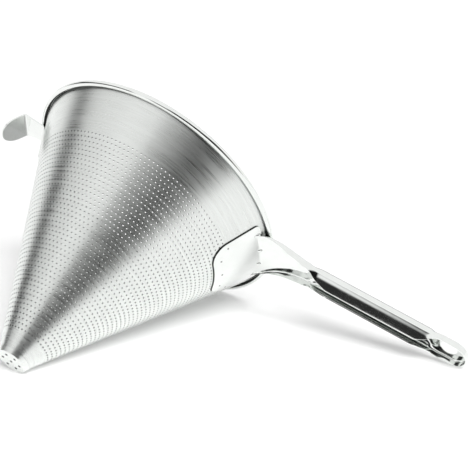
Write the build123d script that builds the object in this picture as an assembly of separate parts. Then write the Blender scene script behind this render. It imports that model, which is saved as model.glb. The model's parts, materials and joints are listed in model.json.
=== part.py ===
from build123d import *
import math
import os

# Conical strainer (chinois), lying on its side as it rests on a table.
# Every piece is built upright first: cone axis on Z, mouth up, handle along +X, and the
# centre plane of the rim bead at Z = 0. The last section lays the whole part down.

# Rim and cone
rim_diameter = 240.0
rim_wire_diameter = 3.6
rim_wire_clearance = 0.05
cone_sheet = 0.8
cone_height = 204.0
cone_tip_radius = 12.6
roll_gap_angle = 20.0

# Tip cap
cap_sheet = 0.6
cap_clearance = 0.1
cap_skirt = 3.2
cap_corner_radius = 0.5
cap_hole_diameter = 2.4
cap_hole_circle_diameter = 16.0
cap_holes_in_circle = 6

# Bracket plate: the end of the handle's sheet that is welded to the cone
plate_gap = 0.1
plate_half_angle = 20.0
plate_top_depth = 6.2
plate_bottom_depth = 48.6
plate_lower_corner = 14.0
plate_upper_corner = 3.0

# Handle: one folded sheet, from the bracket plate to the hanging hole
handle_sheet = 1.2
web_level = 1.9
neck_root_drop = 10.2
neck_rise_power = 3.5
neck_root_half_width = 29.0
neck_root_flange_depth = 2.6
neck_middle_share = 0.63
neck_middle_half_width = 18.4
neck_middle_flange_depth = 6.5
neck_half_width = 14.3
neck_flange_depth = 7.5
fold_radius = 2.5
neck_length = 30.0
neck_root_overlap = 2.0
neck_to_grip_length = 26.0
neck_wrap_share = 0.68
grip_length = 83.0
grip_half_width = 12.0
grip_half_depth = 9.5
grip_centre_level = -2.4
grip_slot_width = 9.2
grip_flap_flatness_share = 0.75
grip_to_tab_length = 20.0
tab_half_width = 13.8
tab_flange_depth = 6.6
tab_wrap_share = 0.64
tab_length = 25.9
eyelet_diameter = 14.8
eyelet_edge_distance = 18.2
neck_steps = 8
neck_step_power = 1.3
transition_steps = 6
shape_change_share = 0.6
section_points = 9

# Pot hook, opposite the handle
hook_sheet = 1.5
hook_bead_gap = 0.4
hook_root_width = 22.5
hook_width = 29.0
hook_reach = 15.5
hook_flare = 10.5
hook_drop = 22.0
hook_leg_depth = 34.0
hook_leg_corner = 4.0
hook_bend_radius = 2.5

# Spot welds: angles from the handle, depths under the centre of the rim bead
weld_diameter = 3.2
weld_recess = 0.2
plate_weld_angles = (-17.0, -11.0, 0.0, 11.0, 17.0)
plate_weld_depth = 42.0
corner_weld_depth = 34.4
hook_weld_depth = 15.0
hook_weld_spacing = 11.0
hook_weld_count = 2

# Darts pressed across the bend between the bracket plate and the neck
dart_count = 4
dart_spacing_angle = 10.0
dart_radius = 2.2

# One overrun serves every cut
overrun = 5.0

# Sizes that follow from the ones above
wire_radius = rim_wire_diameter / 2
cavity_radius = wire_radius + rim_wire_clearance
bead_radius = cavity_radius + cone_sheet
bead_centre_radius = rim_diameter / 2 - bead_radius
tip_to_bead = math.hypot(bead_centre_radius - cone_tip_radius, cone_height)
cone_half_angle = (
    math.atan2(bead_centre_radius - cone_tip_radius, cone_height)
    - math.asin(cavity_radius / tip_to_bead)
)
slope = math.tan(cone_half_angle)
full_depth = cone_height + bead_radius
rim_radius = rim_diameter / 2
plate_front = plate_gap + handle_sheet
neck_end = rim_radius + neck_length
grip_start = neck_end + neck_to_grip_length
grip_end = grip_start + grip_length
tab_start = grip_end + grip_to_tab_length
tab_end = tab_start + tab_length
eyelet_centre = tab_end - eyelet_edge_distance
hook_corner = rim_radius + hook_reach
hook_end = hook_corner + hook_flare


def cone_radius(level, offset=0.0):
    """Radius at a level of the surface that stands off the cone's outside by offset."""
    return cone_tip_radius + (level + cone_height) * slope + offset / math.cos(cone_half_angle)


def cone_body(offset):
    """Solid cone, from below the tip to above the rim, that stands off by offset."""
    low = -cone_height - cap_skirt
    high = bead_radius + overrun
    body = Solid.make_cone(
        cone_radius(low, offset), cone_radius(high, offset), high - low
    )
    return Pos(0, 0, low) * body


def cone_shell(inner_offset, outer_offset):
    return cone_body(outer_offset) - cone_body(inner_offset)


def window(corners, radii, reach):
    """Prism along X over an outline in the YZ plane, with its corners rounded."""
    outline = FilletPolyline(*corners, radius=radii, close=True)
    face = Plane.YZ * make_face(outline)
    return extrude(face, amount=reach)


def around_bead(angle, radius):
    """Point at an angle and radius around the centre of the bead's section."""
    turn = math.radians(angle)
    return (bead_centre_radius + radius * math.cos(turn), radius * math.sin(turn))


def upright_face(edges):
    return Plane.XZ * make_face(edges)


def make_cone():
    """Cone sheet with its top edge rolled outwards over the rim wire."""
    start = 180 - math.degrees(cone_half_angle)
    meets_cone = math.degrees(math.acos(cavity_radius / bead_radius))
    sweep = 360 - meets_cone - roll_gap_angle
    middle = start - sweep / 2
    end = start - sweep
    tip_outside = (cone_tip_radius, -cone_height)
    tip_inside = (cone_tip_radius - cone_sheet / math.cos(cone_half_angle), -cone_height)
    edges = [
        Line(tip_inside, around_bead(start, bead_radius)),
        ThreePointArc(
            around_bead(start, bead_radius),
            around_bead(middle, bead_radius),
            around_bead(end, bead_radius),
        ),
        Line(around_bead(end, bead_radius), around_bead(end, cavity_radius)),
        ThreePointArc(
            around_bead(end, cavity_radius),
            around_bead(middle, cavity_radius),
            around_bead(start, cavity_radius),
        ),
        Line(around_bead(start, cavity_radius), tip_outside),
        Line(tip_outside, tip_inside),
    ]
    return revolve(upright_face(edges), Axis.Z)


def make_rim_wire():
    return Solid.make_torus(bead_centre_radius, wire_radius)


def make_tip_cap():
    """Pressed cup over the end of the cone, with its drain holes."""
    floor_top = -cone_height - cap_clearance
    floor_low = floor_top - cap_sheet
    skirt_top = -cone_height + cap_skirt
    outside = cap_clearance + cap_sheet
    points = [
        (0, floor_low),
        (cone_radius(floor_low, outside), floor_low),
        (cone_radius(skirt_top, outside), skirt_top),
        (cone_radius(skirt_top, cap_clearance), skirt_top),
        (cone_radius(floor_top, cap_clearance), floor_top),
        (0, floor_top),
    ]
    cup = revolve(upright_face(Polyline(*points, close=True)), Axis.Z)
    rim_edges = cup.edges().filter_by(GeomType.CIRCLE).group_by(Axis.Z)[0]
    cup = fillet(rim_edges, cap_corner_radius)
    drill = Cylinder(cap_hole_diameter / 2, cap_sheet + 2 * overrun)
    level = (floor_top + floor_low) / 2
    ring = PolarLocations(cap_hole_circle_diameter / 2, cap_holes_in_circle)
    drills = [Pos(0, 0, level) * drill]
    drills += [Pos(0, 0, level) * (place * drill) for place in ring]
    return cup - drills


def weld_drill(angle, depth):
    """Cylinder square to the cone's wall, at an angle round it and a depth under the rim."""
    tilt = Rot(0, 90 + math.degrees(cone_half_angle), 0)
    place = Pos(cone_radius(-depth), 0, -depth)
    return Rot(0, 0, angle) * (place * (tilt * Cylinder(weld_diameter / 2, 2 * overrun)))


def spot_welds(places, gap, sheet):
    """Nuggets from the cone's wall to just under the outer face of the sheet on it."""
    layer = cone_shell(0, gap + sheet - weld_recess)
    drills = [weld_drill(angle, depth) for angle, depth in places]
    return drills, [drill & layer for drill in drills]


def make_plate():
    top = -plate_top_depth
    low = -plate_bottom_depth
    reach = math.sin(math.radians(plate_half_angle))
    half_top = cone_radius(top) * reach
    half_low = cone_radius(low) * reach
    corners = [(-half_top, top), (half_top, top), (half_low, low), (-half_low, low)]
    radii = [plate_upper_corner, plate_upper_corner, plate_lower_corner, plate_lower_corner]
    area = window(corners, radii, rim_diameter)
    return cone_shell(plate_gap, plate_front) & area


def channel_point(share, half_width, depth):
    """Point of the open channel's outside, from the middle of its web to its free edge."""
    flat = half_width - fold_radius
    bend = fold_radius * math.pi / 2
    wall = max(depth - fold_radius, 0.0)
    run = share * (flat + bend + wall)
    if run <= flat:
        return (run, 0.0)
    if run <= flat + bend:
        turn = (run - flat) / fold_radius
        return (flat + fold_radius * math.sin(turn), fold_radius * math.cos(turn) - fold_radius)
    return (half_width, flat + bend - run - fold_radius)


def grip_point(share):
    """Point of the grip's outside: an oval with flattened flaps, from its top to its slot."""
    end = math.pi - math.asin(grip_slot_width / 2 / grip_half_width)
    turn = share * end
    y = grip_half_width * math.sin(turn)
    drop = grip_half_depth * math.cos(turn)
    past_side = max((turn - math.pi / 2) / (end - math.pi / 2), 0.0)
    flatness = grip_flap_flatness_share if past_side else 0.0
    flap_y = between(grip_half_width, grip_slot_width / 2, past_side)
    flap_drop = between(0, grip_half_depth * math.cos(end), past_side)
    return (
        between(y, flap_y, flatness),
        grip_centre_level - web_level + between(drop, flap_drop, flatness),
    )


def handle_section(radius, half_width, depth, oval_share, wrap_share):
    """Closed outline of the folded sheet in the plane at a radius from the cone's axis."""
    outside = []
    for step in range(section_points):
        share = step / (section_points - 1)
        flat_y, flat_z = channel_point(share, half_width, depth)
        oval_y, oval_z = grip_point(share * wrap_share)
        outside.append(
            (
                flat_y + oval_share * (oval_y - flat_y),
                flat_z + oval_share * (oval_z - flat_z),
            )
        )
    inside = []
    for step, (y, z) in enumerate(outside):
        before = outside[step - 1] if step else (-outside[1][0], outside[1][1])
        after = outside[min(step + 1, section_points - 1)]
        run_y = after[0] - before[0]
        run_z = after[1] - before[1]
        length = math.hypot(run_y, run_z)
        inside.append(
            (y + handle_sheet * run_z / length, z - handle_sheet * run_y / length)
        )
    half = outside + inside[::-1]
    mirrored = [(-y, z) for y, z in inside[1:] + outside[:0:-1]]
    corners = [Vector(radius, y, web_height(radius, y) + z) for y, z in half + mirrored]
    return Wire.make_polygon(corners, close=True)


def smooth(share):
    return share * share * (3 - 2 * share)


def between(low, high, share):
    return low + share * (high - low)


def root_radius(y):
    """Radius at which the web leaves the front of the bracket plate, at a distance to one side."""
    middle = cone_radius(web_level - neck_root_drop - handle_sheet, plate_front)
    return math.sqrt(middle * middle - y * y)


def web_height(radius, y):
    """Level of the web's upper face: it rises from the plate, ever flatter, to the grip's level."""
    share = (radius - root_radius(y)) / (neck_end - root_radius(0))
    if share < 0:
        return web_level - neck_root_drop * (1 - neck_rise_power * share)
    return web_level - neck_root_drop * max(1 - share, 0.0) ** neck_rise_power


def neck_stations():
    """The open neck: radius, half width, flange depth, oval share and wrap share."""
    root = root_radius(0)
    root_size = (neck_root_half_width, neck_root_flange_depth)
    middle_size = (neck_middle_half_width, neck_middle_flange_depth)
    end_size = (neck_half_width, neck_flange_depth)
    stations = [(root_radius(neck_root_half_width) - neck_root_overlap, *root_size, 0.0, 1.0)]
    for step in range(neck_steps):
        share = (step / neck_steps) ** neck_step_power
        before, after, part = root_size, middle_size, share / neck_middle_share
        if share > neck_middle_share:
            before, after = middle_size, end_size
            part = (share - neck_middle_share) / (1 - neck_middle_share)
        half_width, depth = (between(low, high, part) for low, high in zip(before, after))
        stations.append((between(root, neck_end, share), half_width, depth, 0.0, 1.0))
    return stations


def handle_stations():
    """Every section of the folded sheet, from inside the bracket plate to the tab."""
    stations = neck_stations()
    neck = (neck_half_width, neck_flange_depth, neck_wrap_share)
    tab = (tab_half_width, tab_flange_depth, tab_wrap_share)
    for start, end, (half_width, depth, open_wrap_share), closing in (
        (neck_end, grip_start, neck, True),
        (grip_end, tab_start, tab, False),
    ):
        for step in range(transition_steps + 1):
            share = step / transition_steps
            closed_share = share if closing else 1 - share
            stations.append(
                (
                    between(start, end, share),
                    half_width,
                    depth,
                    smooth(min(closed_share / shape_change_share, 1.0)),
                    between(open_wrap_share, 1.0, closed_share),
                )
            )
    return stations


def tab_prism(half_width, end_radius, low, high):
    """Straight sides and a half-round end, from the start of the tab outwards."""
    centre = end_radius - half_width
    sides = [
        Line((tab_start, -half_width), (centre, -half_width)),
        ThreePointArc((centre, -half_width), (end_radius, 0), (centre, half_width)),
        Line((centre, half_width), (tab_start, half_width)),
        Line((tab_start, half_width), (tab_start, -half_width)),
    ]
    return Pos(0, 0, low) * extrude(make_face(sides), amount=high - low)


def make_tab():
    """Flat end of the handle, with its edge turned down all round and the eyelet."""
    low = web_level - tab_flange_depth
    outer = tab_prism(tab_half_width, tab_end, low, web_level)
    rounded = [
        edge
        for edge in outer.edges().group_by(Axis.Z)[-1]
        if edge.center().X > tab_start + handle_sheet
    ]
    outer = fillet(rounded, fold_radius)
    inner = tab_prism(
        tab_half_width - handle_sheet,
        tab_end - handle_sheet,
        low - overrun,
        web_level - handle_sheet,
    )
    return outer - inner


def make_darts():
    """Blobs in the corner between the bracket plate and the underside of the neck."""
    level = web_level - neck_root_drop - handle_sheet
    blob = Pos(root_radius(0), 0, level) * Sphere(dart_radius)
    first = -dart_spacing_angle * (dart_count - 1) / 2
    turns = [first + dart_spacing_angle * dart for dart in range(dart_count)]
    return [Rot(0, 0, turn) * blob for turn in turns]


def make_handle(drills):
    sections = [handle_section(*station) for station in handle_stations()]
    folded = Solid.make_loft(sections, ruled=True)
    eyelet = Pos(eyelet_centre, 0, web_level) * Cylinder(eyelet_diameter / 2, 2 * overrun)
    blank = folded + make_tab() - eyelet + make_darts()
    blank = blank - cone_body(plate_gap + handle_sheet / 2)
    return blank + make_plate() - drills


def make_hook(drills):
    """Strip that leaves the cone under the bead and turns down to hang on a pot's edge."""
    top = -bead_radius - hook_bead_gap
    low = top - hook_sheet
    half = hook_width / 2
    drop = math.atan2(hook_drop, hook_end - hook_corner)
    miter = hook_sheet * math.tan(drop / 2)
    outer_corner = (hook_corner, 0, top)
    inner_corner = (hook_corner - miter, 0, low)
    shift_x = hook_sheet * math.sin(drop)
    shift_z = hook_sheet * math.cos(drop)
    outline = Polyline(
        (cone_radius(top), 0, top),
        outer_corner,
        (hook_end, 0, top - hook_drop),
        (hook_end - shift_x, 0, top - hook_drop - shift_z),
        inner_corner,
        (cone_radius(low), 0, low),
        close=True,
    )
    strip = Pos(0, half, 0) * extrude(make_face(outline), amount=hook_width, dir=(0, -1, 0))
    for corner, radius in (
        (outer_corner, hook_bend_radius + hook_sheet),
        (inner_corner, hook_bend_radius),
    ):
        bend = strip.edges().filter_by(Axis.Y).sort_by_distance(corner)[0]
        strip = fillet(bend, radius)
    half_root = hook_root_width / 2
    plan = Polyline(
        (0, -half_root),
        (bead_centre_radius, -half_root),
        (hook_corner, -half),
        (hook_end + overrun, -half),
        (hook_end + overrun, half),
        (hook_corner, half),
        (bead_centre_radius, half_root),
        (0, half_root),
        close=True,
    )
    strip = strip & extrude(make_face(plan), amount=full_depth, both=True)
    tongue_low = top - hook_drop - shift_z
    tongue = window(
        [(-half, bead_radius), (half, bead_radius), (half, tongue_low), (-half, tongue_low)],
        [hook_sheet, hook_sheet, half - hook_sheet / 2, half - hook_sheet / 2],
        rim_diameter,
    )
    strip = strip & tongue
    leg_window = window(
        [
            (-half_root, low),
            (half_root, low),
            (half_root, -hook_leg_depth),
            (-half_root, -hook_leg_depth),
        ],
        [hook_sheet / 2, hook_sheet / 2, hook_leg_corner, hook_leg_corner],
        rim_diameter,
    )
    leg = cone_shell(plate_gap, plate_gap + hook_sheet) & leg_window
    hook = (strip - cone_body(plate_gap)) + leg
    return hook - drills


def lie_down(pieces):
    """Lay the upright pieces on the table: bead, cap edge and handle end touch it."""
    cap_edge_level = -cone_height - cap_clearance - cap_sheet + cap_corner_radius
    cap_edge_radius = (
        cone_radius(cap_edge_level, cap_clearance + cap_sheet)
        - cap_corner_radius / math.cos(cone_half_angle)
    )
    across = bead_centre_radius - cap_edge_radius
    reach = math.hypot(across, -cap_edge_level)
    lean = math.atan2(across, -cap_edge_level) + math.asin(
        (bead_radius - cap_corner_radius) / reach
    )
    centre_height = bead_centre_radius * math.cos(lean) + bead_radius
    tab_centre = tab_end - tab_half_width
    tab_height = (
        centre_height
        + (web_level - tab_flange_depth) * math.sin(lean)
        - tab_half_width * math.cos(lean)
    )
    roll = math.acos(tab_height / (tab_centre * math.cos(lean)))
    pose = (
        Pos(0, 0, centre_height)
        * Rot(0, 90 - math.degrees(lean), 0)
        * Rot(0, 0, -math.degrees(roll))
    )
    laid = {node: [pose * solid for solid in solids] for node, solids in pieces.items()}
    box = Compound([solid for solids in laid.values() for solid in solids]).bounding_box()
    centre = box.center()
    to_origin = Pos(-centre.X, -centre.Y, -box.min.Z)
    return {node: [to_origin * solid for solid in solids] for node, solids in laid.items()}


def build():
    outermost = max(plate_weld_angles)
    plate_places = [
        (angle, corner_weld_depth if abs(angle) == outermost else plate_weld_depth)
        for angle in plate_weld_angles
    ]
    plate_drills, plate_nuggets = spot_welds(plate_places, plate_gap, handle_sheet)
    hook_places = [
        (0, hook_weld_depth + hook_weld_spacing * row) for row in range(hook_weld_count)
    ]
    hook_drills, hook_nuggets = spot_welds(hook_places, plate_gap, hook_sheet)
    turned = Rot(0, 0, 180)
    return {
        "strainer_cone": [make_cone()],
        "rim_wire": [make_rim_wire()],
        "tip_cap": [make_tip_cap()],
        "handle": [make_handle(plate_drills)],
        "handle_spot_welds": plate_nuggets,
        "pot_hook": [turned * make_hook(hook_drills)],
        "hook_spot_welds": [turned * nugget for nugget in hook_nuggets],
    }


os.makedirs("parts", exist_ok=True)
for node, shapes in lie_down(build()).items():
    solids = [solid for shape in shapes for solid in shape.solids()]
    export_step(solids[0] if len(solids) == 1 else Compound(solids), f"parts/{node}.step")
    print(node, "solids", len(solids), "volume", round(sum(solid.volume for solid in solids), 1))
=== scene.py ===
import json
import math

import bmesh
import bpy
from mathutils import Matrix, Vector


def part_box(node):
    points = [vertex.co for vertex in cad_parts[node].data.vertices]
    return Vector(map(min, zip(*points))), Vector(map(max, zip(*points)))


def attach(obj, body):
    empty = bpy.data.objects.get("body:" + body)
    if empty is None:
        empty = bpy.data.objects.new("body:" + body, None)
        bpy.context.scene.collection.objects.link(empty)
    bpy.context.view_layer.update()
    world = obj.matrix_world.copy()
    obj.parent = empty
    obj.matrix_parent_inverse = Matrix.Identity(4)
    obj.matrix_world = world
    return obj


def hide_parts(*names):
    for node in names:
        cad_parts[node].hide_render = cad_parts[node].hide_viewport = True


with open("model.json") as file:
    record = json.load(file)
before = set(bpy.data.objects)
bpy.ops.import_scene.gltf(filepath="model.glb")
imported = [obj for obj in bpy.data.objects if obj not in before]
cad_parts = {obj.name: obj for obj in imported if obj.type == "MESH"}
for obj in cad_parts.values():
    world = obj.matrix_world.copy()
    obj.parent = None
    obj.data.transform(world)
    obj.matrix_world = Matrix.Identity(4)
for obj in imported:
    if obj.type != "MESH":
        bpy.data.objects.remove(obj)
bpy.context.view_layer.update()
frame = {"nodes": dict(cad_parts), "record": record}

# Camera, as fitted to the photograph
CAMERA_PLACE = Vector((-0.83144, -0.65288, 0.50936))
CAMERA_HEADING = math.radians(54.47)
CAMERA_PITCH = math.radians(21.05)
CAMERA_ROLL = math.radians(1.16)
IMAGE_PIXELS = 470
FOCAL_PIXELS = 1407
SENSOR_WIDTH = 36.0

# Studio: headings from +Y towards +X, heights above the horizon, both in degrees
FLOOR_HALF = 8.0
FLOOR_COLOUR = (0.90, 0.90, 0.90, 1)
FLOOR_ROUGHNESS = 0.9
FLOOR_LIFT = 0.20
FLAGS = (
    # middle heading, half width, height from, to, soft edge, darkness
    (222.0, 38.0, -6.0, 37.0, 8.0, 0.99),
    (268.0, 13.0, -6.0, 21.0, 6.0, 0.97),
    (325.0, 31.0, 4.0, 26.0, 6.0, 0.97),
    (68.0, 12.0, -4.0, 11.0, 5.0, 0.85),
)
WHITE = (1, 1, 1, 1)
HALF_TURN = 180.0
DIFFUSE_WORLD = 0.32
LAMP_HEADING = math.radians(215)
LAMP_HEIGHT = math.radians(50)
LAMP_WIDTH = math.radians(32)
LAMP_STRENGTH = 3.0

# Cone and rim, in metres
RIM_RADIUS = 0.120
WIRE_RADIUS = 0.0018
WIRE_CLEARANCE = 0.00005
SHEET = 0.0008
BEAD_RADIUS = WIRE_RADIUS + WIRE_CLEARANCE + SHEET
BEAD_CENTRE_RADIUS = RIM_RADIUS - BEAD_RADIUS
BEAD_GAP_ANGLE = math.radians(58)
BEAD_SECTIONS = 256
BEAD_STEPS = 32
CONE_HEIGHT = 0.204
TIP_RADIUS = 0.0126
HOLE_DIAMETER = 0.00135
HOLE_SIDES = 8
ROW_PITCH = 0.00389
ROWS = 44
FIRST_ROW_FROM_TIP = 0.0205
ROWS_PER_BAND = 3.5
FIRST_BAND_HOLES = 42
HOLES_MORE_PER_BAND = 9
BAND_START = math.radians(-81.3)
CELL_EDGE_DIGITS = 7
SAME_CELL_EDGE = 1e-6
PLAIN_SECTIONS = 192
PLAIN_STEPS = 4

# Bracket plate on the cone, the painted shadow of the gap round it, and its weld marks
HANDLE_SHEET = 0.0012
EDGE_ROUNDING = 0.00025
PLATE_GAP = 0.0001
PLATE_FRONT = PLATE_GAP + HANDLE_SHEET
PLATE_HALF_ANGLE = math.radians(20)
PLATE_TOP = -0.0062
PLATE_LOW = -0.0486
PLATE_LOWER_CORNER = 0.014
PLATE_UPPER_CORNER = 0.003
CORNER_STEPS = 8
PLATE_ROWS = 14
PLATE_COLUMNS = 65
# near-black sheet under the plate's edge, as painted shadow of the gap: how far it reaches out, its thickness
# and rounding
GAP_SHADOW_REACH = 0.0003
GAP_SHADOW_THICKNESS = PLATE_GAP / 4
GAP_SHADOW_ROUNDING = PLATE_GAP / 16
# weld marks: degrees from the plate's middle, depth below the bead's centre
WELD_MARKS = ((-17.0, 0.0344), (-11.0, 0.042), (0.0, 0.042), (11.0, 0.042), (17.0, 0.0344))
WELD_MARK_RADIUS = 0.0010
WELD_MARK_HEIGHT = 0.0002
# a mark's profile: shares of its radius and of its height
WELD_PROFILE_SHARES = ((0.15, 0.1), (0.4, 0.3), (0.65, 1.0), (0.85, 0.8), (1.0, -0.5))
WELD_SIDES = 20

# Neck, grip and tab, at radii from the cone's axis
WEB_LEVEL = 0.0019
UNDER_LEVEL = WEB_LEVEL - HANDLE_SHEET
NECK_ROOT_DROP = 0.0102
NECK_RISE_POWER = 3.5
NECK_ROOT_HALF_WIDTH = 0.0290
NECK_ROOT_FLANGE = 0.0026
NECK_MIDDLE_SHARE = 0.63
NECK_MIDDLE_HALF_WIDTH = 0.0184
NECK_MIDDLE_FLANGE = 0.0065
NECK_HALF_WIDTH = 0.0143
NECK_FLANGE = 0.0075
NECK_WRAP = 0.68
FOLD_RADIUS = 0.0025
NECK_END = RIM_RADIUS + 0.030
GRIP_START = NECK_END + 0.026
GRIP_END = GRIP_START + 0.083
GRIP_HALF_WIDTH = 0.0120
GRIP_HALF_DEPTH = 0.0095
GRIP_CENTRE_LEVEL = -0.0024
GRIP_SLOT = 0.0092
GRIP_FLAP_FLATNESS = 0.75
TAB_START = GRIP_END + 0.020
TAB_HALF_WIDTH = 0.0138
TAB_FLANGE = 0.0066
TAB_WRAP = 0.64
TAB_END = TAB_START + 0.0259
TAB_CENTRE = TAB_END - TAB_HALF_WIDTH
EYELET_RADIUS = 0.0074
EYELET_CENTRE = TAB_END - 0.0182
SHAPE_CHANGE = 0.6
BEND_REACH = 0.0014
PLATE_SEARCH = 0.012
PLATE_SEARCH_STEPS = 40
PLATE_SINK = 0.00003
NORMAL_STEP = 0.004
# rows of the handle's grid in each stretch, columns to each side, and passes of smoothing
BEND_ROWS = 10
NECK_ROWS = 26
CLOSING_ROWS = 26
GRIP_ROWS = 24
OPENING_ROWS = 20
TAB_ROWS = 6
END_ROWS = 16
HALF_COLUMNS = 48
RELAX_PASSES = 4
DRILL_SIDES = 64
DRILL_DEPTH = 0.01

# Darts across the bend between plate and neck
DART_ANGLES = (-15.0, -5.0, 5.0, 15.0)
DART_HEIGHT = 0.0016
DART_WIDTH = 0.0015
DART_LENGTH = 0.0026
DART_SINK = 0.0003
DART_TILT = math.radians(52)
DART_RINGS = 16
DART_SIDES = 24

# Finishing of the meshes
SMOOTH_ANGLE = math.radians(40)
BEVEL_ANGLE = math.radians(60)
BEVEL_SEGMENTS = 2
SAME_PLACE = 0.000002
NO_LENGTH = 0.000001

# Materials. A span is where a pattern's blend starts and ends, a bump is strength and distance
LINES_MAP = "lines"
NOISE_DETAIL = 2.0
NOISE_SPAN = (0.3, 0.7)
CONE_BASE = (0.80, 0.82, 0.80)
CONE_ROUGHNESS = 0.30
CONE_ANISOTROPY = 0.75
# Inside of the cone: the same steel as outside with a darker base, as painted shade
INNER_SHADED_BASE = (0.66, 0.68, 0.66)
INNER_ROUGHNESS = 0.30
# painted shade inside the cone towards the tip: slants from the bead where it starts and where it is full,
# and its colour
TIP_SHADE_SLANTS = (0.115, 0.230)
TIP_SHADE_COLOUR = (0.06, 0.06, 0.06, 1)
# brushed lines: noise cycles per metre across and along them
LINE_SCALES = ((2600.0, 30.0, 1.0), (520.0, 15.0, 1.0))
LINE_DETAIL = 3.0
LINE_TONES = (0.89, 1.05)
LINE_ROUGHNESS = (0.85, 1.15)
LINE_BUMP = (0.25, 0.00002)
POLISHED_BASE = (0.86, 0.88, 0.86)
HANDLE_ROUGHNESS = 0.09
BEAD_ROUGHNESS = 0.10
HOOK_ROUGHNESS = 0.10
CAP_ROUGHNESS = 0.30
# painted shade on the tip cap: the span of facing towards the mouth over which it sets in, and its colour
CAP_SHADE_SPAN = (-0.35, -0.15)
CAP_PAINTED_SHADE = (0.03, 0.03, 0.03, 1)
CLOUD_SCALE = 90.0
CLOUD_DETAIL = 4.0
CLOUD_TONE = 0.96
CLOUD_ROUGH_SPAN = (0.35, 0.7)
CLOUD_ROUGHNESS = (0.7, 1.3)
SCRATCH_SCALE = (60.0, 1500.0, 1500.0)
SCRATCH_SPAN = (0.62, 0.75)
SCRATCH_ROUGHNESS = 0.6
WAVE_SCALE = 60.0
WAVE_BUMP = (0.3, 0.0001)
WELD_SCALE = 900.0
WELD_TONES = ((0.30, 0.30, 0.29, 1), (0.55, 0.56, 0.54, 1))
WELD_ROUGHNESS = (0.3, 0.5)
WELD_BUMP = (0.5, 0.00005)
# Painted shade: near-black steel for the holes' walls, the gap round the bracket plate and the wire in the
# bead
SHADE_SPECKLE_SCALE = 1500.0
PAINTED_SHADE_TONES = ((0.015, 0.016, 0.015, 1), (0.06, 0.062, 0.058, 1))
PAINTED_SHADE_ROUGHNESS = (0.45, 0.65)

# The wall leaves the tip and touches the inside of the bead
TIP_TO_BEAD = math.hypot(BEAD_CENTRE_RADIUS - TIP_RADIUS, CONE_HEIGHT)
HALF_ANGLE = math.atan2(BEAD_CENTRE_RADIUS - TIP_RADIUS, CONE_HEIGHT) - math.asin(
    (BEAD_RADIUS - SHEET) / TIP_TO_BEAD
)
SLOPE = math.tan(HALF_ANGLE)


def frame_axes():
    """The rim's centre, and the cone's axes: towards the handle, sideways, and tip to mouth."""
    low, high = (Vector(corner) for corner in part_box("rim_wire"))
    centre = (low + high) / 2
    wire_span = high.y - low.y
    lean = math.acos(((high.z - low.z) - 2 * WIRE_RADIUS) / (wire_span - 2 * WIRE_RADIUS))
    up = Vector((math.cos(lean), 0, math.sin(lean)))
    hole = Vector(next(m for m in frame["record"]["mounts"] if m["name"] == "hanging_hole")["pos_m"])
    out = hole - centre
    out -= up * out.dot(up)
    out.normalize()
    return centre, out, up.cross(out), up


CENTRE, OUT, SIDE, UP = frame_axes()
LOCAL = Matrix((OUT, SIDE, UP)).transposed().to_4x4()
LOCAL.translation = CENTRE


def cone_radius(level, offset=0.0):
    """Radius of the cone's outside at a level from the bead's centre, or of a surface off it."""
    return TIP_RADIUS + (level + CONE_HEIGHT) * SLOPE + offset / math.cos(HALF_ANGLE)


def make_camera():
    data = bpy.data.cameras.new("camera")
    data.sensor_width = SENSOR_WIDTH
    data.lens = SENSOR_WIDTH * FOCAL_PIXELS / IMAGE_PIXELS
    camera = bpy.data.objects.new("camera", data)
    bpy.context.scene.collection.objects.link(camera)
    camera.location = CAMERA_PLACE
    line = Vector((
        math.cos(CAMERA_PITCH) * math.sin(CAMERA_HEADING),
        math.cos(CAMERA_PITCH) * math.cos(CAMERA_HEADING),
        -math.sin(CAMERA_PITCH),
    ))
    camera.rotation_mode = "QUATERNION"
    turn = Matrix.Rotation(-CAMERA_ROLL, 4, line).to_quaternion()
    camera.rotation_quaternion = turn @ line.to_track_quat("-Z", "Y")
    bpy.context.scene.camera = camera


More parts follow.
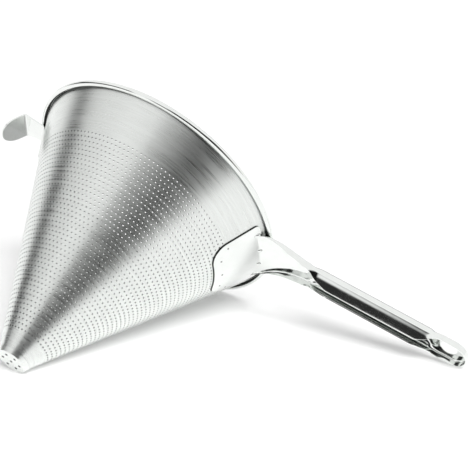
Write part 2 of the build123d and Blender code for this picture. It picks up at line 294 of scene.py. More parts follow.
class Nodes:
    """Short names for making and linking shader nodes."""

    def __init__(self, tree):
        self.tree = tree

    def add(self, kind, **settings):
        node = self.tree.nodes.new("ShaderNode" + kind)
        for key, value in settings.items():
            setattr(node, key, value)
        return node

    def put(self, target, value):
        if isinstance(value, bpy.types.NodeSocket):
            self.tree.links.new(value, target)
        else:
            target.default_value = value

    def math(self, operation, *values):
        node = self.add("Math", operation=operation)
        for socket, value in zip(node.inputs, values):
            self.put(socket, value)
        return node.outputs[0]

    def ramp(self, value, low, high, to_low=0.0, to_high=1.0):
        """Smooth step of value between low and high."""
        node = self.add("MapRange", interpolation_type="SMOOTHSTEP")
        for name, item in (
            ("Value", value), ("From Min", low), ("From Max", high), ("To Min", to_low), ("To Max", to_high)
        ):
            self.put(node.inputs[name], item)
        return node.outputs[0]

    def noise(self, place, scale, detail=NOISE_DETAIL, **settings):
        node = self.add("TexNoise", **settings)
        node.inputs["Scale"].default_value = scale
        node.inputs["Detail"].default_value = detail
        self.put(node.inputs["Vector"], place)
        return node.outputs["Fac"]

    def stretch(self, place, scale):
        node = self.add("Mapping")
        node.inputs["Scale"].default_value = scale
        self.put(node.inputs["Vector"], place)
        return node.outputs[0]

    def mix(self, share, first, second):
        """Colour that goes from the first to the second as share goes from 0 to 1."""
        node = self.add("Mix", data_type="RGBA")
        for name, item in (("Factor", share), ("A", first), ("B", second)):
            self.put(node.inputs[name], item)
        return node.outputs["Result"]

    def bump(self, shader, height, strength, distance):
        node = self.add("Bump")
        node.inputs["Strength"].default_value = strength
        node.inputs["Distance"].default_value = distance
        self.put(node.inputs["Height"], height)
        self.put(shader.inputs["Normal"], node.outputs[0])

    def seen(self):
        """1 for rays that show the surroundings themselves, 0 for those that light the object."""
        path = self.add("LightPath")
        seen = self.math("MAXIMUM", path.outputs["Is Camera Ray"], path.outputs["Is Glossy Ray"])
        return self.math("MAXIMUM", seen, path.outputs["Is Transmission Ray"])


def new_material(name):
    material = bpy.data.materials.new(name)
    material.use_nodes = True
    return material, material.node_tree.nodes["Principled BSDF"], Nodes(material.node_tree)


def make_floor():
    mesh = bpy.data.meshes.new("floor")
    corners = [(x * FLOOR_HALF, y * FLOOR_HALF, 0) for x, y in ((-1, -1), (1, -1), (1, 1), (-1, 1))]
    mesh.from_pydata(corners, [], [(0, 1, 2, 3)])
    floor = bpy.data.objects.new("floor", mesh)
    bpy.context.scene.collection.objects.link(floor)
    material, shader, nodes = new_material("floor")
    shader.inputs["Base Color"].default_value = FLOOR_COLOUR
    shader.inputs["Roughness"].default_value = FLOOR_ROUGHNESS
    shader.inputs["Emission Color"].default_value = WHITE
    nodes.put(shader.inputs["Emission Strength"], nodes.math("MULTIPLY", nodes.seen(), FLOOR_LIFT))
    mesh.materials.append(material)


def make_world():
    """Even white surroundings with soft dark flags, which the steel mirrors as its dark bands."""
    world = bpy.data.worlds.new("studio")
    bpy.context.scene.world = world
    world.use_nodes = True
    nodes = Nodes(world.node_tree)
    split = nodes.add("SeparateXYZ")
    nodes.put(split.inputs[0], nodes.add("TexCoord").outputs["Generated"])
    x, y, z = split.outputs
    heading = nodes.math("MULTIPLY", nodes.math("ARCTAN2", x, y), math.degrees(1))
    height = nodes.math("MULTIPLY", nodes.math("ARCSINE", z), math.degrees(1))
    light = 1.0
    for middle, half_width, low, high, soft, darkness in FLAGS:
        reach = soft / 2
        away = nodes.math("WRAP", nodes.math("SUBTRACT", heading, middle), HALF_TURN, -HALF_TURN)
        inside = nodes.ramp(nodes.math("ABSOLUTE", away), half_width - reach, half_width + reach, 1.0, 0.0)
        inside = nodes.math("MULTIPLY", inside, nodes.ramp(height, high - reach, high + reach, 1.0, 0.0))
        inside = nodes.math("MULTIPLY", inside, nodes.ramp(height, low - reach, low + reach))
        left = nodes.math("SUBTRACT", 1.0, nodes.math("MULTIPLY", inside, darkness))
        light = nodes.math("MULTIPLY", light, left)
    background = world.node_tree.nodes["Background"]
    nodes.put(background.inputs["Strength"], nodes.ramp(nodes.seen(), 0.0, 1.0, DIFFUSE_WORLD, 1.0))
    nodes.put(background.inputs["Color"], light)


def make_lamp():
    """Soft light from the camera's side, which gives the floor its shadow and isn't mirrored."""
    data = bpy.data.lights.new("soft_light", "SUN")
    data.angle = LAMP_WIDTH
    data.energy = LAMP_STRENGTH
    lamp = bpy.data.objects.new("soft_light", data)
    bpy.context.scene.collection.objects.link(lamp)
    away = Vector((
        math.cos(LAMP_HEIGHT) * math.sin(LAMP_HEADING),
        math.cos(LAMP_HEIGHT) * math.cos(LAMP_HEADING),
        math.sin(LAMP_HEIGHT),
    ))
    lamp.location = away
    lamp.rotation_mode = "QUATERNION"
    lamp.rotation_quaternion = away.to_track_quat("Z", "Y")
    lamp.visible_glossy = False


def new_steel(name):
    material, shader, nodes = new_material(name)
    shader.inputs["Metallic"].default_value = 1.0
    return material, shader, nodes


def brushed_steel(name, base, roughness, anisotropic):
    """Steel with fine lines. The lines run along V of the UV map, and U runs across them, in metres."""
    material, shader, nodes = new_steel(name)
    shader.inputs["Anisotropic"].default_value = anisotropic
    place = nodes.add("UVMap", uv_map=LINES_MAP).outputs[0]
    layers = []
    for scale in LINE_SCALES:
        layer = nodes.noise(nodes.stretch(place, scale), 1.0, LINE_DETAIL, noise_dimensions="2D")
        layers.append(nodes.math("MULTIPLY", layer, 1 / len(LINE_SCALES)))
    lines = nodes.math("ADD", *layers)
    dark, light = ((*(min(c * tone, 1.0) for c in base), 1) for tone in LINE_TONES)
    nodes.put(shader.inputs["Base Color"], nodes.mix(nodes.ramp(lines, *NOISE_SPAN), dark, light))
    low, high = (roughness * share for share in LINE_ROUGHNESS)
    nodes.put(shader.inputs["Roughness"], nodes.ramp(lines, *NOISE_SPAN, low, high))
    nodes.bump(shader, lines, *LINE_BUMP)
    if anisotropic:
        tangent = nodes.add("Tangent", direction_type="UV_MAP", uv_map=LINES_MAP)
        nodes.put(shader.inputs["Tangent"], tangent.outputs[0])
    return material


def polished_steel(name, roughness):
    """Mirror-polished steel: faint cloudy wear and scratches, and a slight waviness from polishing."""
    material, shader, nodes = new_steel(name)
    place = nodes.add("TexCoord").outputs["Object"]
    cloud = nodes.noise(place, CLOUD_SCALE, CLOUD_DETAIL)
    scratch = nodes.noise(nodes.stretch(place, SCRATCH_SCALE), 1.0)
    low, high = (roughness * share for share in CLOUD_ROUGHNESS)
    rough = nodes.ramp(cloud, *CLOUD_ROUGH_SPAN, low, high)
    worn = nodes.ramp(scratch, *SCRATCH_SPAN, 0.0, roughness * SCRATCH_ROUGHNESS)
    nodes.put(shader.inputs["Roughness"], nodes.math("ADD", rough, worn))
    dark = (*(c * CLOUD_TONE for c in POLISHED_BASE), 1)
    tone = nodes.mix(nodes.ramp(cloud, *NOISE_SPAN), dark, (*POLISHED_BASE, 1))
    nodes.put(shader.inputs["Base Color"], tone)
    nodes.bump(shader, nodes.noise(place, WAVE_SCALE), *WAVE_BUMP)
    return material


def fade_colour(material, nodes, share, colour):
    """Turn the material's own colour into another one as share goes from 0 to 1."""
    socket = material.node_tree.nodes["Principled BSDF"].inputs["Base Color"]
    nodes.put(socket, nodes.mix(share, socket.links[0].from_socket, colour))


def shaded_inner_cone_steel(name):
    """Steel inside the cone, darker than outside as painted shade, with more painted shade that darkens it
    towards the tip.
    """
    material = brushed_steel(name, INNER_SHADED_BASE, INNER_ROUGHNESS, 0.0)
    nodes = Nodes(material.node_tree)
    split = nodes.add("SeparateXYZ")
    nodes.put(split.inputs[0], nodes.add("UVMap", uv_map=LINES_MAP).outputs[0])
    # painted shade, darkening the inside towards the tip
    fade_colour(material, nodes, nodes.ramp(split.outputs[0], *TIP_SHADE_SLANTS), TIP_SHADE_COLOUR)
    return material


def pressed_cup(name):
    """Steel of the tip cap: satin outside, with painted shade in its drain holes and on its inside, picked by
    the way each face turns.
    """
    material = polished_steel(name, CAP_ROUGHNESS)
    nodes = Nodes(material.node_tree)
    facing = nodes.add("VectorMath", operation="DOT_PRODUCT")
    nodes.put(facing.inputs[0], nodes.add("NewGeometry").outputs["Normal"])
    facing.inputs[1].default_value = UP
    # painted shade: faces not turned towards the tip, inside the cup and in its holes, go near-black
    fade_colour(material, nodes, nodes.ramp(facing.outputs["Value"], *CAP_SHADE_SPAN), CAP_PAINTED_SHADE)
    return material


def speckled_steel(name, scale, tones, roughness, bump=None):
    """Steel whose tone and roughness follow a fine speckle."""
    material, shader, nodes = new_steel(name)
    speckle = nodes.noise(nodes.add("TexCoord").outputs["Object"], scale)
    nodes.put(shader.inputs["Base Color"], nodes.mix(speckle, *tones))
    nodes.put(shader.inputs["Roughness"], nodes.ramp(speckle, *NOISE_SPAN, *roughness))
    if bump:
        nodes.bump(shader, speckle, *bump)
    return material


def weld_steel(name):
    """Dull, slightly burnt steel of a spot weld."""
    return speckled_steel(name, WELD_SCALE, WELD_TONES, WELD_ROUGHNESS, WELD_BUMP)


def painted_shade_steel(name):
    """Near-black, matt steel that stands for painted shade: on the walls of the punched holes, in the gap
    round the bracket plate and on the wire inside the bead.
    """
    return speckled_steel(name, SHADE_SPECKLE_SCALE, PAINTED_SHADE_TONES, PAINTED_SHADE_ROUGHNESS)


def add_piece(name, points, faces, material, slot, *replaced, normals=None, uvs=None):
    """A mesh from points in the strainer's own axes, with a normal for each corner if given."""
    mesh = bpy.data.meshes.new(name)
    mesh.from_pydata(points, [], faces)
    mesh.transform(LOCAL)
    mesh.shade_smooth()
    if uvs:
        layer = mesh.uv_layers.new(name=LINES_MAP)
        layer.data.foreach_set("uv", [c for uv in uvs for c in uv])
    if normals:
        turn = LOCAL.to_3x3()
        mesh.normals_split_custom_set([turn @ Vector(n) for n in normals])
    mesh.materials.append(material)
    piece = bpy.data.objects.new(name, mesh)
    bpy.context.scene.collection.objects.link(piece)
    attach(piece, "root")
    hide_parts(*replaced)
    return piece


def row_holes(row):
    """Number of holes in a row, counted from the tip: it grows in steps."""
    return FIRST_BAND_HOLES + HOLES_MORE_PER_BAND * int((row + 0.5) / ROWS_PER_BAND)


def wall_point(angle, slant, depth=0.0):
    """Point of the cone's wall: angle round the axis, slant distance from the bead, depth in the sheet."""
    level = -slant * math.cos(HALF_ANGLE)
    radius = cone_radius(level, -depth)
    return (radius * math.cos(angle), radius * math.sin(angle), level)


def wall_normal(angle):
    """Direction out of the cone's wall at an angle round the axis."""
    return (
        math.cos(HALF_ANGLE) * math.cos(angle),
        math.cos(HALF_ANGLE) * math.sin(angle),
        -math.sin(HALF_ANGLE),
    )


def marks_between(marks, a, b):
    """The marks strictly between a and b, where both run past 1 at the seam."""
    found = []
    for turn in (0, 1):
        found += [m + turn for m in marks if a + SAME_CELL_EDGE < m + turn < b - SAME_CELL_EDGE]
    return found


def zip_rings(ring, outer_count, angle, slant, radius):
    """Triangles between the outer and the inner loop, matched by their direction from the hole."""
    def direction(i):
        a, s = ring[i]
        return math.atan2(slant - s, (a - angle) * radius)

    outer = sorted(range(outer_count), key=direction)
    inner = sorted(range(outer_count, len(ring)), key=direction)
    result = []
    i = j = 0
    while i < len(outer) or j < len(inner):
        o, n = outer[i % len(outer)], inner[j % len(inner)]
        next_o = direction(outer[(i + 1) % len(outer)]) + (2 * math.pi if i + 1 >= len(outer) else 0)
        next_n = direction(inner[(j + 1) % len(inner)]) + (2 * math.pi if j + 1 >= len(inner) else 0)
        if j >= len(inner) or (i < len(outer) and next_o <= next_n):
            result.append((o, outer[(i + 1) % len(outer)], n))
            i += 1
        else:
            result.append((o, inner[(j + 1) % len(inner)], n))
            j += 1
    return result


def make_cone(outside_material, inside_material, hole_shade_material):
    """Cone sheet with its rows of holes: each hole sits in a cell that is cut to match its neighbours."""
    slant_length = CONE_HEIGHT / math.cos(HALF_ANGLE)
    first = slant_length - FIRST_ROW_FROM_TIP
    starts = []
    for row in range(ROWS):
        count = row_holes(row)
        in_band = row - min(r for r in range(ROWS) if row_holes(r) == count)
        starts.append((count, 0.5 * (in_band % 2)))
    full = 2 * math.pi
    edges = []
    for row in range(ROWS + 1):
        marks = set()
        for near in (row - 1, row):
            if 0 <= near < ROWS:
                count, shift = starts[near]
                marks.update(round(((k + shift) / count) % 1.0, CELL_EDGE_DIGITS) for k in range(count))
        edges.append(sorted(marks))
    points, faces, normals, uvs = [], [], [], []
    kinds = []    # material of each face: 0 outside, 1 inside, 2 wall of a hole

    def add_points(ring):
        """Adds points on both sides of the sheet, returns the first index."""
        start = len(points)
        for angle, slant in ring:
            points.append(wall_point(angle, slant))
            points.append(wall_point(angle, slant, SHEET))
        return start

    def both_sides(indices, places):
        """One face outside and its twin inside."""
        faces.append(tuple(indices))
        faces.append(tuple(i + 1 for i in reversed(indices)))
        kinds.extend((0, 1))
        normals.extend(wall_normal(a) for a, s in places)
        normals.extend(tuple(-c for c in wall_normal(a)) for a, s in reversed(places))
        uvs.extend((s, a * BEAD_CENTRE_RADIUS) for a, s in places)
        uvs.extend((s, a * BEAD_CENTRE_RADIUS) for a, s in reversed(places))

    hole = HOLE_DIAMETER / 2
    turns = [full * (side + 0.5) / HOLE_SIDES - math.pi for side in range(HOLE_SIDES)]
    for row in range(ROWS):
        count, shift = starts[row]
        slant = first - row * ROW_PITCH
        low_slant = slant + ROW_PITCH / 2
        high_slant = slant - ROW_PITCH / 2
        radius = cone_radius(-slant * math.cos(HALF_ANGLE))
        for k in range(count):
            a = (k + shift) / count
            b = a + 1 / count
            outer = [(a, low_slant)]
            outer += [(m, low_slant) for m in marks_between(edges[row], a, b)]
            outer += [(b, low_slant), (b, high_slant)]
            outer += [(m, high_slant) for m in reversed(marks_between(edges[row + 1], a, b))]
            outer += [(a, high_slant)]
            middle = (a + b) / 2
            inner = [
                (middle + hole * math.cos(turn) / radius / full, slant - hole * math.sin(turn))
                for turn in turns
            ]
            ring = [(BAND_START + p * full, q) for p, q in outer + inner]
            start = add_points(ring)
            index = [start + 2 * i for i in range(len(ring))]
            angle = middle * full + BAND_START
            for corner in zip_rings(ring, len(outer), angle, slant, radius):
                both_sides([index[i] for i in corner], [ring[i] for i in corner])
            round_axis = Vector((-math.sin(angle), math.cos(angle), 0))
            up_wall = Vector((
                math.sin(HALF_ANGLE) * math.cos(angle),
                math.sin(HALF_ANGLE) * math.sin(angle),
                math.cos(HALF_ANGLE),
            ))
            for side in range(HOLE_SIDES):
                after = (side + 1) % HOLE_SIDES
                i = index[len(outer) + side]
                j = index[len(outer) + after]
                faces.append((i, j, j + 1, i + 1))
                kinds.append(2)
                for s in (side, after, after, side):
                    normals.append(tuple(-round_axis * math.cos(turns[s]) - up_wall * math.sin(turns[s])))
                    place = ring[len(outer) + s]
                    uvs.append((place[1], place[0] * BEAD_CENTRE_RADIUS))
    # plain bands above and below the rows
    for top, bottom in ((0.0, first - (ROWS - 0.5) * ROW_PITCH), (first + ROW_PITCH / 2, slant_length)):
        rings = [top + (bottom - top) * i / PLAIN_STEPS for i in range(PLAIN_STEPS + 1)]
        for r in range(PLAIN_STEPS):
            for k in range(PLAIN_SECTIONS):
                places = [
                    (full * (k + i) / PLAIN_SECTIONS, rings[r + j])
                    for i, j in ((0, 0), (0, 1), (1, 1), (1, 0))
                ]
                start = add_points(places)
                both_sides([start, start + 2, start + 4, start + 6], places)
    piece = add_piece(
        "cone_wall", points, faces, outside_material, "cone_steel", "strainer_cone", normals=normals, uvs=uvs
    )
    piece.data.materials.append(inside_material)
    # the holes' walls are near-black: painted shade in the holes
    piece.data.materials.append(hole_shade_material)
    piece.data.polygons.foreach_set("material_index", kinds)


def make_bead(material):
    """The rolled edge: a round bead that leaves the wall and closes on it again."""
    start = math.pi - HALF_ANGLE
    meets = math.acos((BEAD_RADIUS - SHEET) / BEAD_RADIUS)
    sweep = 2 * math.pi - meets - BEAD_GAP_ANGLE

    def directions(section, step):
        """Angle round the cone's axis, and angle round the bead."""
        return 2 * math.pi * section / BEAD_SECTIONS, start - sweep * step / BEAD_STEPS

    points, faces, normals = [], [], []
    for section in range(BEAD_SECTIONS):
        for step in range(BEAD_STEPS + 1):
            turn, around = directions(section, step)
            radius = BEAD_CENTRE_RADIUS + BEAD_RADIUS * math.cos(around)
            points.append((radius * math.cos(turn), radius * math.sin(turn), BEAD_RADIUS * math.sin(around)))
    for k in range(BEAD_SECTIONS):
        for s in range(BEAD_STEPS):
            i = k * (BEAD_STEPS + 1) + s
            j = ((k + 1) % BEAD_SECTIONS) * (BEAD_STEPS + 1) + s
            faces.append((i, i + 1, j + 1, j))
            for corner in ((k, s), (k, s + 1), (k + 1, s + 1), (k + 1, s)):
                turn, around = directions(*corner)
                flat = math.cos(around)
                normals.append((flat * math.cos(turn), flat * math.sin(turn), math.sin(around)))
    add_piece("rim_bead", points, faces, material, "cone_steel", "strainer_cone", normals=normals)


def smooth(share):
    share = min(max(share, 0.0), 1.0)
    return share * share * (3 - 2 * share)


def between(low, high, share):
    return low + share * (high - low)


def channel_point(share, half_width, depth):
    """Open channel's outside, from the middle of its web to its free edge: across, and below the web."""
    flat = half_width - FOLD_RADIUS
    bend = FOLD_RADIUS * math.pi / 2
    wall = max(depth - FOLD_RADIUS, 0.0)
    run = share * (flat + bend + wall)
    if run <= flat:
        return run, 0.0
    if run <= flat + bend:
        turn = (run - flat) / FOLD_RADIUS
        return flat + FOLD_RADIUS * math.sin(turn), FOLD_RADIUS * math.cos(turn) - FOLD_RADIUS
    return half_width, flat + bend - run - FOLD_RADIUS


def grip_point(share):
    """Oval grip's outside with flattened flaps: share 0 is its top, share 1 the edge of its slot."""
    end = math.pi - math.asin(GRIP_SLOT / 2 / GRIP_HALF_WIDTH)
    turn = share * end
    y = GRIP_HALF_WIDTH * math.sin(turn)
    drop = GRIP_HALF_DEPTH * math.cos(turn)
    if turn > math.pi / 2:
        past_side = (turn - math.pi / 2) / (end - math.pi / 2)
        flap_y = between(GRIP_HALF_WIDTH, GRIP_SLOT / 2, past_side)
        flap_drop = GRIP_HALF_DEPTH * math.cos(end) * past_side
        y = between(y, flap_y, GRIP_FLAP_FLATNESS)
        drop = between(drop, flap_drop, GRIP_FLAP_FLATNESS)
    return y, GRIP_CENTRE_LEVEL - WEB_LEVEL + drop


def outside_point(share, half_width, depth, oval_share, wrap):
    """Outside of the folded sheet, between the open channel and the oval grip."""
    flat_y, flat_z = channel_point(share, half_width, depth)
    oval_y, oval_z = grip_point(share * wrap)
    return between(flat_y, oval_y, oval_share), between(flat_z, oval_z, oval_share)


def under_point(share, *section):
    """The same place on the underside of the sheet, which the camera sees."""
    y, z = outside_point(share, *section)
    y0, z0 = outside_point(max(share - NORMAL_STEP, 0.0), *section)
    y1, z1 = outside_point(min(share + NORMAL_STEP, 1.0), *section)
    if share < NORMAL_STEP:
        y0, z0 = -y1, z1
    length = math.hypot(y1 - y0, z1 - z0)
    return y + HANDLE_SHEET * (z1 - z0) / length, z - HANDLE_SHEET * (y1 - y0) / length


def root_radius(y):
    """Radius at which the neck leaves the front of the bracket plate, at a distance to one side."""
    middle = cone_radius(UNDER_LEVEL - NECK_ROOT_DROP, PLATE_FRONT)
    return math.sqrt(middle * middle - y * y)


def web_rise(radius, y):
    """How far the web lies under its highest level: it rises from the plate, ever flatter."""
    share = (radius - root_radius(y)) / (NECK_END - root_radius(0))
    if share < 0:
        return -NECK_ROOT_DROP * (1 - NECK_RISE_POWER * share)
    return -NECK_ROOT_DROP * max(1 - share, 0.0) ** NECK_RISE_POWER


def section_at(radius):
    """Half width, flange depth, oval share and wrap of the handle at a radius from the axis."""
    if radius < NECK_END:
        share = max((radius - root_radius(0)) / (NECK_END - root_radius(0)), 0.0)
        if share < NECK_MIDDLE_SHARE:
            part = share / NECK_MIDDLE_SHARE
            half_width = between(NECK_ROOT_HALF_WIDTH, NECK_MIDDLE_HALF_WIDTH, part)
            return half_width, between(NECK_ROOT_FLANGE, NECK_MIDDLE_FLANGE, part), 0.0, NECK_WRAP
        part = (share - NECK_MIDDLE_SHARE) / (1 - NECK_MIDDLE_SHARE)
        half_width = between(NECK_MIDDLE_HALF_WIDTH, NECK_HALF_WIDTH, part)
        return half_width, between(NECK_MIDDLE_FLANGE, NECK_FLANGE, part), 0.0, NECK_WRAP
    if radius < GRIP_START:
        closed = (radius - NECK_END) / (GRIP_START - NECK_END)
        shape = smooth(closed / SHAPE_CHANGE)
        return NECK_HALF_WIDTH, NECK_FLANGE, shape, between(NECK_WRAP, 1.0, closed)
    if radius < GRIP_END:
        return NECK_HALF_WIDTH, NECK_FLANGE, 1.0, 1.0
    closed = max(1 - (radius - GRIP_END) / (TAB_START - GRIP_END), 0.0)
    return TAB_HALF_WIDTH, TAB_FLANGE, smooth(closed / SHAPE_CHANGE), between(TAB_WRAP, 1.0, closed)


def handle_column(share, side):
    """Points of the sheet's underside along one line of the handle, from the plate to the tab."""
    def place(radius):
        y, z = under_point(share, *section_at(radius))
        return Vector((radius, y, WEB_LEVEL + web_rise(radius, y) + z))

    def front(point):
        """How far the point lies in front of the bracket plate, along the radius."""
        return point.x - math.sqrt(cone_radius(point.z, PLATE_FRONT) ** 2 - point.y ** 2)

    low, high = root_radius(0) - PLATE_SEARCH, root_radius(0) + PLATE_SEARCH
    for _ in range(PLATE_SEARCH_STEPS):
        middle = (low + high) / 2
        if front(place(middle)) > 0:
            high = middle
        else:
            low = middle
    corner = place(high)
    before_level = corner.z - BEND_REACH * math.cos(HALF_ANGLE)
    sunk = cone_radius(before_level, PLATE_FRONT - PLATE_SINK)
    before = Vector((math.sqrt(sunk * sunk - corner.y ** 2), corner.y, before_level))
    start = high + BEND_REACH / math.sqrt(2)
    after = place(start)
    points = []
    for step in range(BEND_ROWS + 1):
        t = step / BEND_ROWS
        points.append(before * (1 - t) ** 2 + corner * 2 * t * (1 - t) + after * t * t)
    for first, last, rows in (
        (start, NECK_END, NECK_ROWS),
        (NECK_END, GRIP_START, CLOSING_ROWS),
        (GRIP_START, GRIP_END, GRIP_ROWS),
        (GRIP_END, TAB_START, OPENING_ROWS),
        (TAB_START, TAB_CENTRE, TAB_ROWS),
    ):
        points += [place(between(first, last, step / rows)) for step in range(1, rows + 1)]
    last = points[-1]
    for step in range(1, END_ROWS + 1):
        turn = math.pi / 2 * step / END_ROWS
        points.append(Vector((TAB_CENTRE + last.y * math.sin(turn), last.y * math.cos(turn), last.z)))
    return [Vector((p.x, p.y * side, p.z)) for p in points]


def finish_solid(piece):
    """Apply the modifiers, and shade smooth across all but the sharp edges."""
    graph = bpy.context.evaluated_depsgraph_get()
    mesh = bpy.data.meshes.new_from_object(piece.evaluated_get(graph), depsgraph=graph)
    piece.modifiers.clear()
    piece.data = mesh
    work = bmesh.new()
    work.from_mesh(mesh)
    for edge in work.edges:
        edge.smooth = len(edge.link_faces) == 2 and edge.calc_face_angle(0.0) < SMOOTH_ANGLE
    for face in work.faces:
        face.smooth = True
    work.to_mesh(mesh)
    work.free()


def join_seam(piece):
    """Join points that meet, such as the two halves of the tab's round end."""
    work = bmesh.new()
    work.from_mesh(piece.data)
    bmesh.ops.remove_doubles(work, verts=work.verts, dist=SAME_PLACE)
    bmesh.ops.dissolve_degenerate(work, edges=work.edges, dist=NO_LENGTH)
    work.to_mesh(piece.data)
    work.free()


def thicken(piece, thickness, rounding):
    """Make a solid sheet with rounded edges of a surface."""
    sheet = piece.modifiers.new("sheet", "SOLIDIFY")
    sheet.thickness = thickness
    sheet.offset = -1.0
    sheet.use_even_offset = True
    sheet.use_quality_normals = True
    bevel = piece.modifiers.new("edges", "BEVEL")
    bevel.width = rounding
    bevel.segments = BEVEL_SEGMENTS
    bevel.limit_method = "ANGLE"
    bevel.angle_limit = BEVEL_ANGLE
    bevel.use_clamp_overlap = True


def grid_faces(rows, columns):
    return [
        (r * columns + c, r * columns + c + 1, (r + 1) * columns + c + 1, (r + 1) * columns + c)
        for r in range(rows - 1)
        for c in range(columns - 1)
    ]


def relax(grid):
    """Soften the kinks between the stretches of the folded sheet, along and across it."""
    last_row = len(grid) - END_ROWS - TAB_ROWS
    for _ in range(RELAX_PASSES):
        for axis in (0, 1):
            copy = [list(row) for row in grid]
            for r in range(BEND_ROWS // 2, last_row):
                for c in range(1, len(grid[0]) - 1):
                    if axis:
                        grid[r][c] = (copy[r][c - 1] + copy[r][c] * 2 + copy[r][c + 1]) / 4
                    else:
                        grid[r][c] = (copy[r - 1][c] + copy[r][c] * 2 + copy[r + 1][c]) / 4


def make_darts(material):
    """Small round gussets pressed outwards across the bend between the plate and the neck."""
    points, faces = [], []
    radius = root_radius(0)
    along = Vector((math.cos(DART_TILT), 0, math.sin(DART_TILT)))
    out = Vector((math.sin(DART_TILT), 0, -math.cos(DART_TILT)))
    for angle in DART_ANGLES:
        turn = Matrix.Rotation(math.radians(angle), 3, "Z")
        centre = Vector((radius, 0, UNDER_LEVEL - NECK_ROOT_DROP)) - out * DART_SINK
        start = len(points)
        for ring in range(DART_RINGS + 1):
            tilt = math.pi * ring / DART_RINGS
            for k in range(DART_SIDES):
                spin = 2 * math.pi * k / DART_SIDES
                point = centre + along * DART_LENGTH * math.cos(tilt)
                point = point + out * DART_HEIGHT * math.sin(tilt) * math.cos(spin)
                point.y += DART_WIDTH * math.sin(tilt) * math.sin(spin)
                points.append(turn @ point)
        for ring in range(DART_RINGS):
            for k in range(DART_SIDES):
                i, j = start + ring * DART_SIDES + k, start + ring * DART_SIDES + (k + 1) % DART_SIDES
                faces.append((j, i, i + DART_SIDES, j + DART_SIDES))
    piece = add_piece("neck_darts", points, faces, material, "handle_steel", "handle")
    join_seam(piece)


def make_handle(material):
    """Neck, grip and tab: one sheet folded from the bracket plate to the hanging hole."""
    columns = []
    for step in range(-HALF_COLUMNS, HALF_COLUMNS + 1):
        share = abs(step) / HALF_COLUMNS
        columns.append(handle_column(share, 1 if step >= 0 else -1))
    grid = [list(row) for row in zip(*columns)]
    relax(grid)
    points = [point for row in grid for point in row]
    faces = grid_faces(len(grid), len(columns))
    piece = add_piece("folded_handle", points, faces, material, "handle_steel", "handle")
    join_seam(piece)
    thicken(piece, HANDLE_SHEET, EDGE_ROUNDING)
    drill_mesh = bpy.data.meshes.new("eyelet_drill")
    work = bmesh.new()
    bmesh.ops.create_cone(
        work, cap_ends=True, segments=DRILL_SIDES, radius1=EYELET_RADIUS, radius2=EYELET_RADIUS,
        depth=DRILL_DEPTH, matrix=LOCAL @ Matrix.Translation((EYELET_CENTRE, 0, WEB_LEVEL)),
    )
    work.to_mesh(drill_mesh)
    work.free()
    drill = bpy.data.objects.new("eyelet_drill", drill_mesh)
    bpy.context.scene.collection.objects.link(drill)
    cut = piece.modifiers.new("eyelet", "BOOLEAN")
    cut.object = drill
    cut.solver = "EXACT"
    finish_solid(piece)
    bpy.data.objects.remove(drill)


def plate_patch(name, material, offset, grow=0.0):
    """A curved patch on the cone with the bracket plate's outline, grown on every side."""
    low, top = PLATE_LOW - grow, PLATE_TOP + grow
    lower, upper = PLATE_LOWER_CORNER + grow, PLATE_UPPER_CORNER + grow
    quarter = [math.pi / 2 * step / CORNER_STEPS for step in range(CORNER_STEPS + 1)]
    rows = [(low + lower * (1 - math.cos(turn)), lower * (1 - math.sin(turn))) for turn in quarter]
    rows += [(between(low + lower, top - upper, step / PLATE_ROWS), 0.0) for step in range(1, PLATE_ROWS)]
    rows += [(top - upper * (1 - math.cos(turn)), upper * (1 - math.sin(turn))) for turn in reversed(quarter)]
    points = []
    for level, inset in rows:
        radius = cone_radius(level, offset)
        half_angle = math.asin((cone_radius(level) * math.sin(PLATE_HALF_ANGLE) + grow - inset) / radius)
        for column in range(PLATE_COLUMNS):
            angle = half_angle * (2 * column / (PLATE_COLUMNS - 1) - 1)
            points.append((radius * math.cos(angle), radius * math.sin(angle), level))
    return add_piece(name, points, grid_faces(len(rows), PLATE_COLUMNS), material, "handle_steel", "handle")


def make_plate(material, gap_shadow_material):
    """Bracket plate of the handle, and a near-black sheet under its edge as painted shadow of the gap round
    it.
    """
    plate = plate_patch("bracket_plate", material, PLATE_FRONT)
    thicken(plate, HANDLE_SHEET, EDGE_ROUNDING)
    finish_solid(plate)
    # Near-black sheet under the plate's edge: painted shadow of the gap round the plate
    gap_shadow = plate_patch("plate_gap_shadow", gap_shadow_material, PLATE_GAP / 2, GAP_SHADOW_REACH)
    thicken(gap_shadow, GAP_SHADOW_THICKNESS, GAP_SHADOW_ROUNDING)
    finish_solid(gap_shadow)


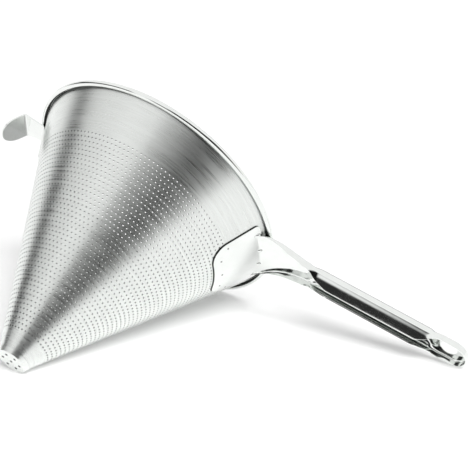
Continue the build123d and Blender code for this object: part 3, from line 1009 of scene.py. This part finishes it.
def make_weld_marks(material):
    """Small craters that the spot welds leave on the plate's face."""
    points, faces = [], []
    for angle, depth in WELD_MARKS:
        turn = math.radians(angle)
        radius = cone_radius(-depth, PLATE_FRONT)
        centre = Vector((radius * math.cos(turn), radius * math.sin(turn), -depth))
        out = Vector(wall_normal(turn))
        side = Vector((-math.sin(turn), math.cos(turn), 0))
        up = out.cross(side)
        start = len(points)
        for reach, height in WELD_PROFILE_SHARES:
            for k in range(WELD_SIDES):
                spin = 2 * math.pi * k / WELD_SIDES
                across = side * math.cos(spin) + up * math.sin(spin)
                points.append(centre + across * WELD_MARK_RADIUS * reach + out * WELD_MARK_HEIGHT * height)
        rings = len(WELD_PROFILE_SHARES)
        for r in range(rings - 1):
            for k in range(WELD_SIDES):
                after = (k + 1) % WELD_SIDES
                i, j = start + r * WELD_SIDES, start + (r + 1) * WELD_SIDES
                faces.append((i + k, j + k, j + after, i + after))
        faces.append(tuple(start + k for k in range(WELD_SIDES)))
        faces.append(tuple(start + (rings - 1) * WELD_SIDES + k for k in reversed(range(WELD_SIDES))))
    add_piece("plate_weld_marks", points, faces, material, "weld_steel", "handle_spot_welds")


make_camera()
make_floor()
make_world()
make_lamp()
cone_steel = brushed_steel("brushed_cone", CONE_BASE, CONE_ROUGHNESS, CONE_ANISOTROPY)
handle_steel = polished_steel("polished_handle", HANDLE_ROUGHNESS)
# Near-black steel that stands for painted shade
painted_shade_material = painted_shade_steel("painted_shade_dark")
make_cone(cone_steel, shaded_inner_cone_steel("inner_cone_painted_shade"), painted_shade_material)
make_bead(polished_steel("polished_bead", BEAD_ROUGHNESS))
make_handle(handle_steel)
make_darts(handle_steel)
make_plate(handle_steel, painted_shade_material)
make_weld_marks(weld_steel("plate_weld"))
NODE_MATERIALS = {
    # the wire is near-black as painted shade where it shows through the bead's gap
    "rim_wire": painted_shade_steel("wire_painted_shade"),
    "tip_cap": pressed_cup("pressed_cap"),
    "pot_hook": polished_steel("polished_hook", HOOK_ROUGHNESS),
    "hook_spot_welds": weld_steel("hook_weld"),
}
for node, material in NODE_MATERIALS.items():
    data = frame["nodes"][node].data
    data.materials.clear()
    data.materials.append(material)

bpy.context.scene.view_settings.view_transform = "Standard"
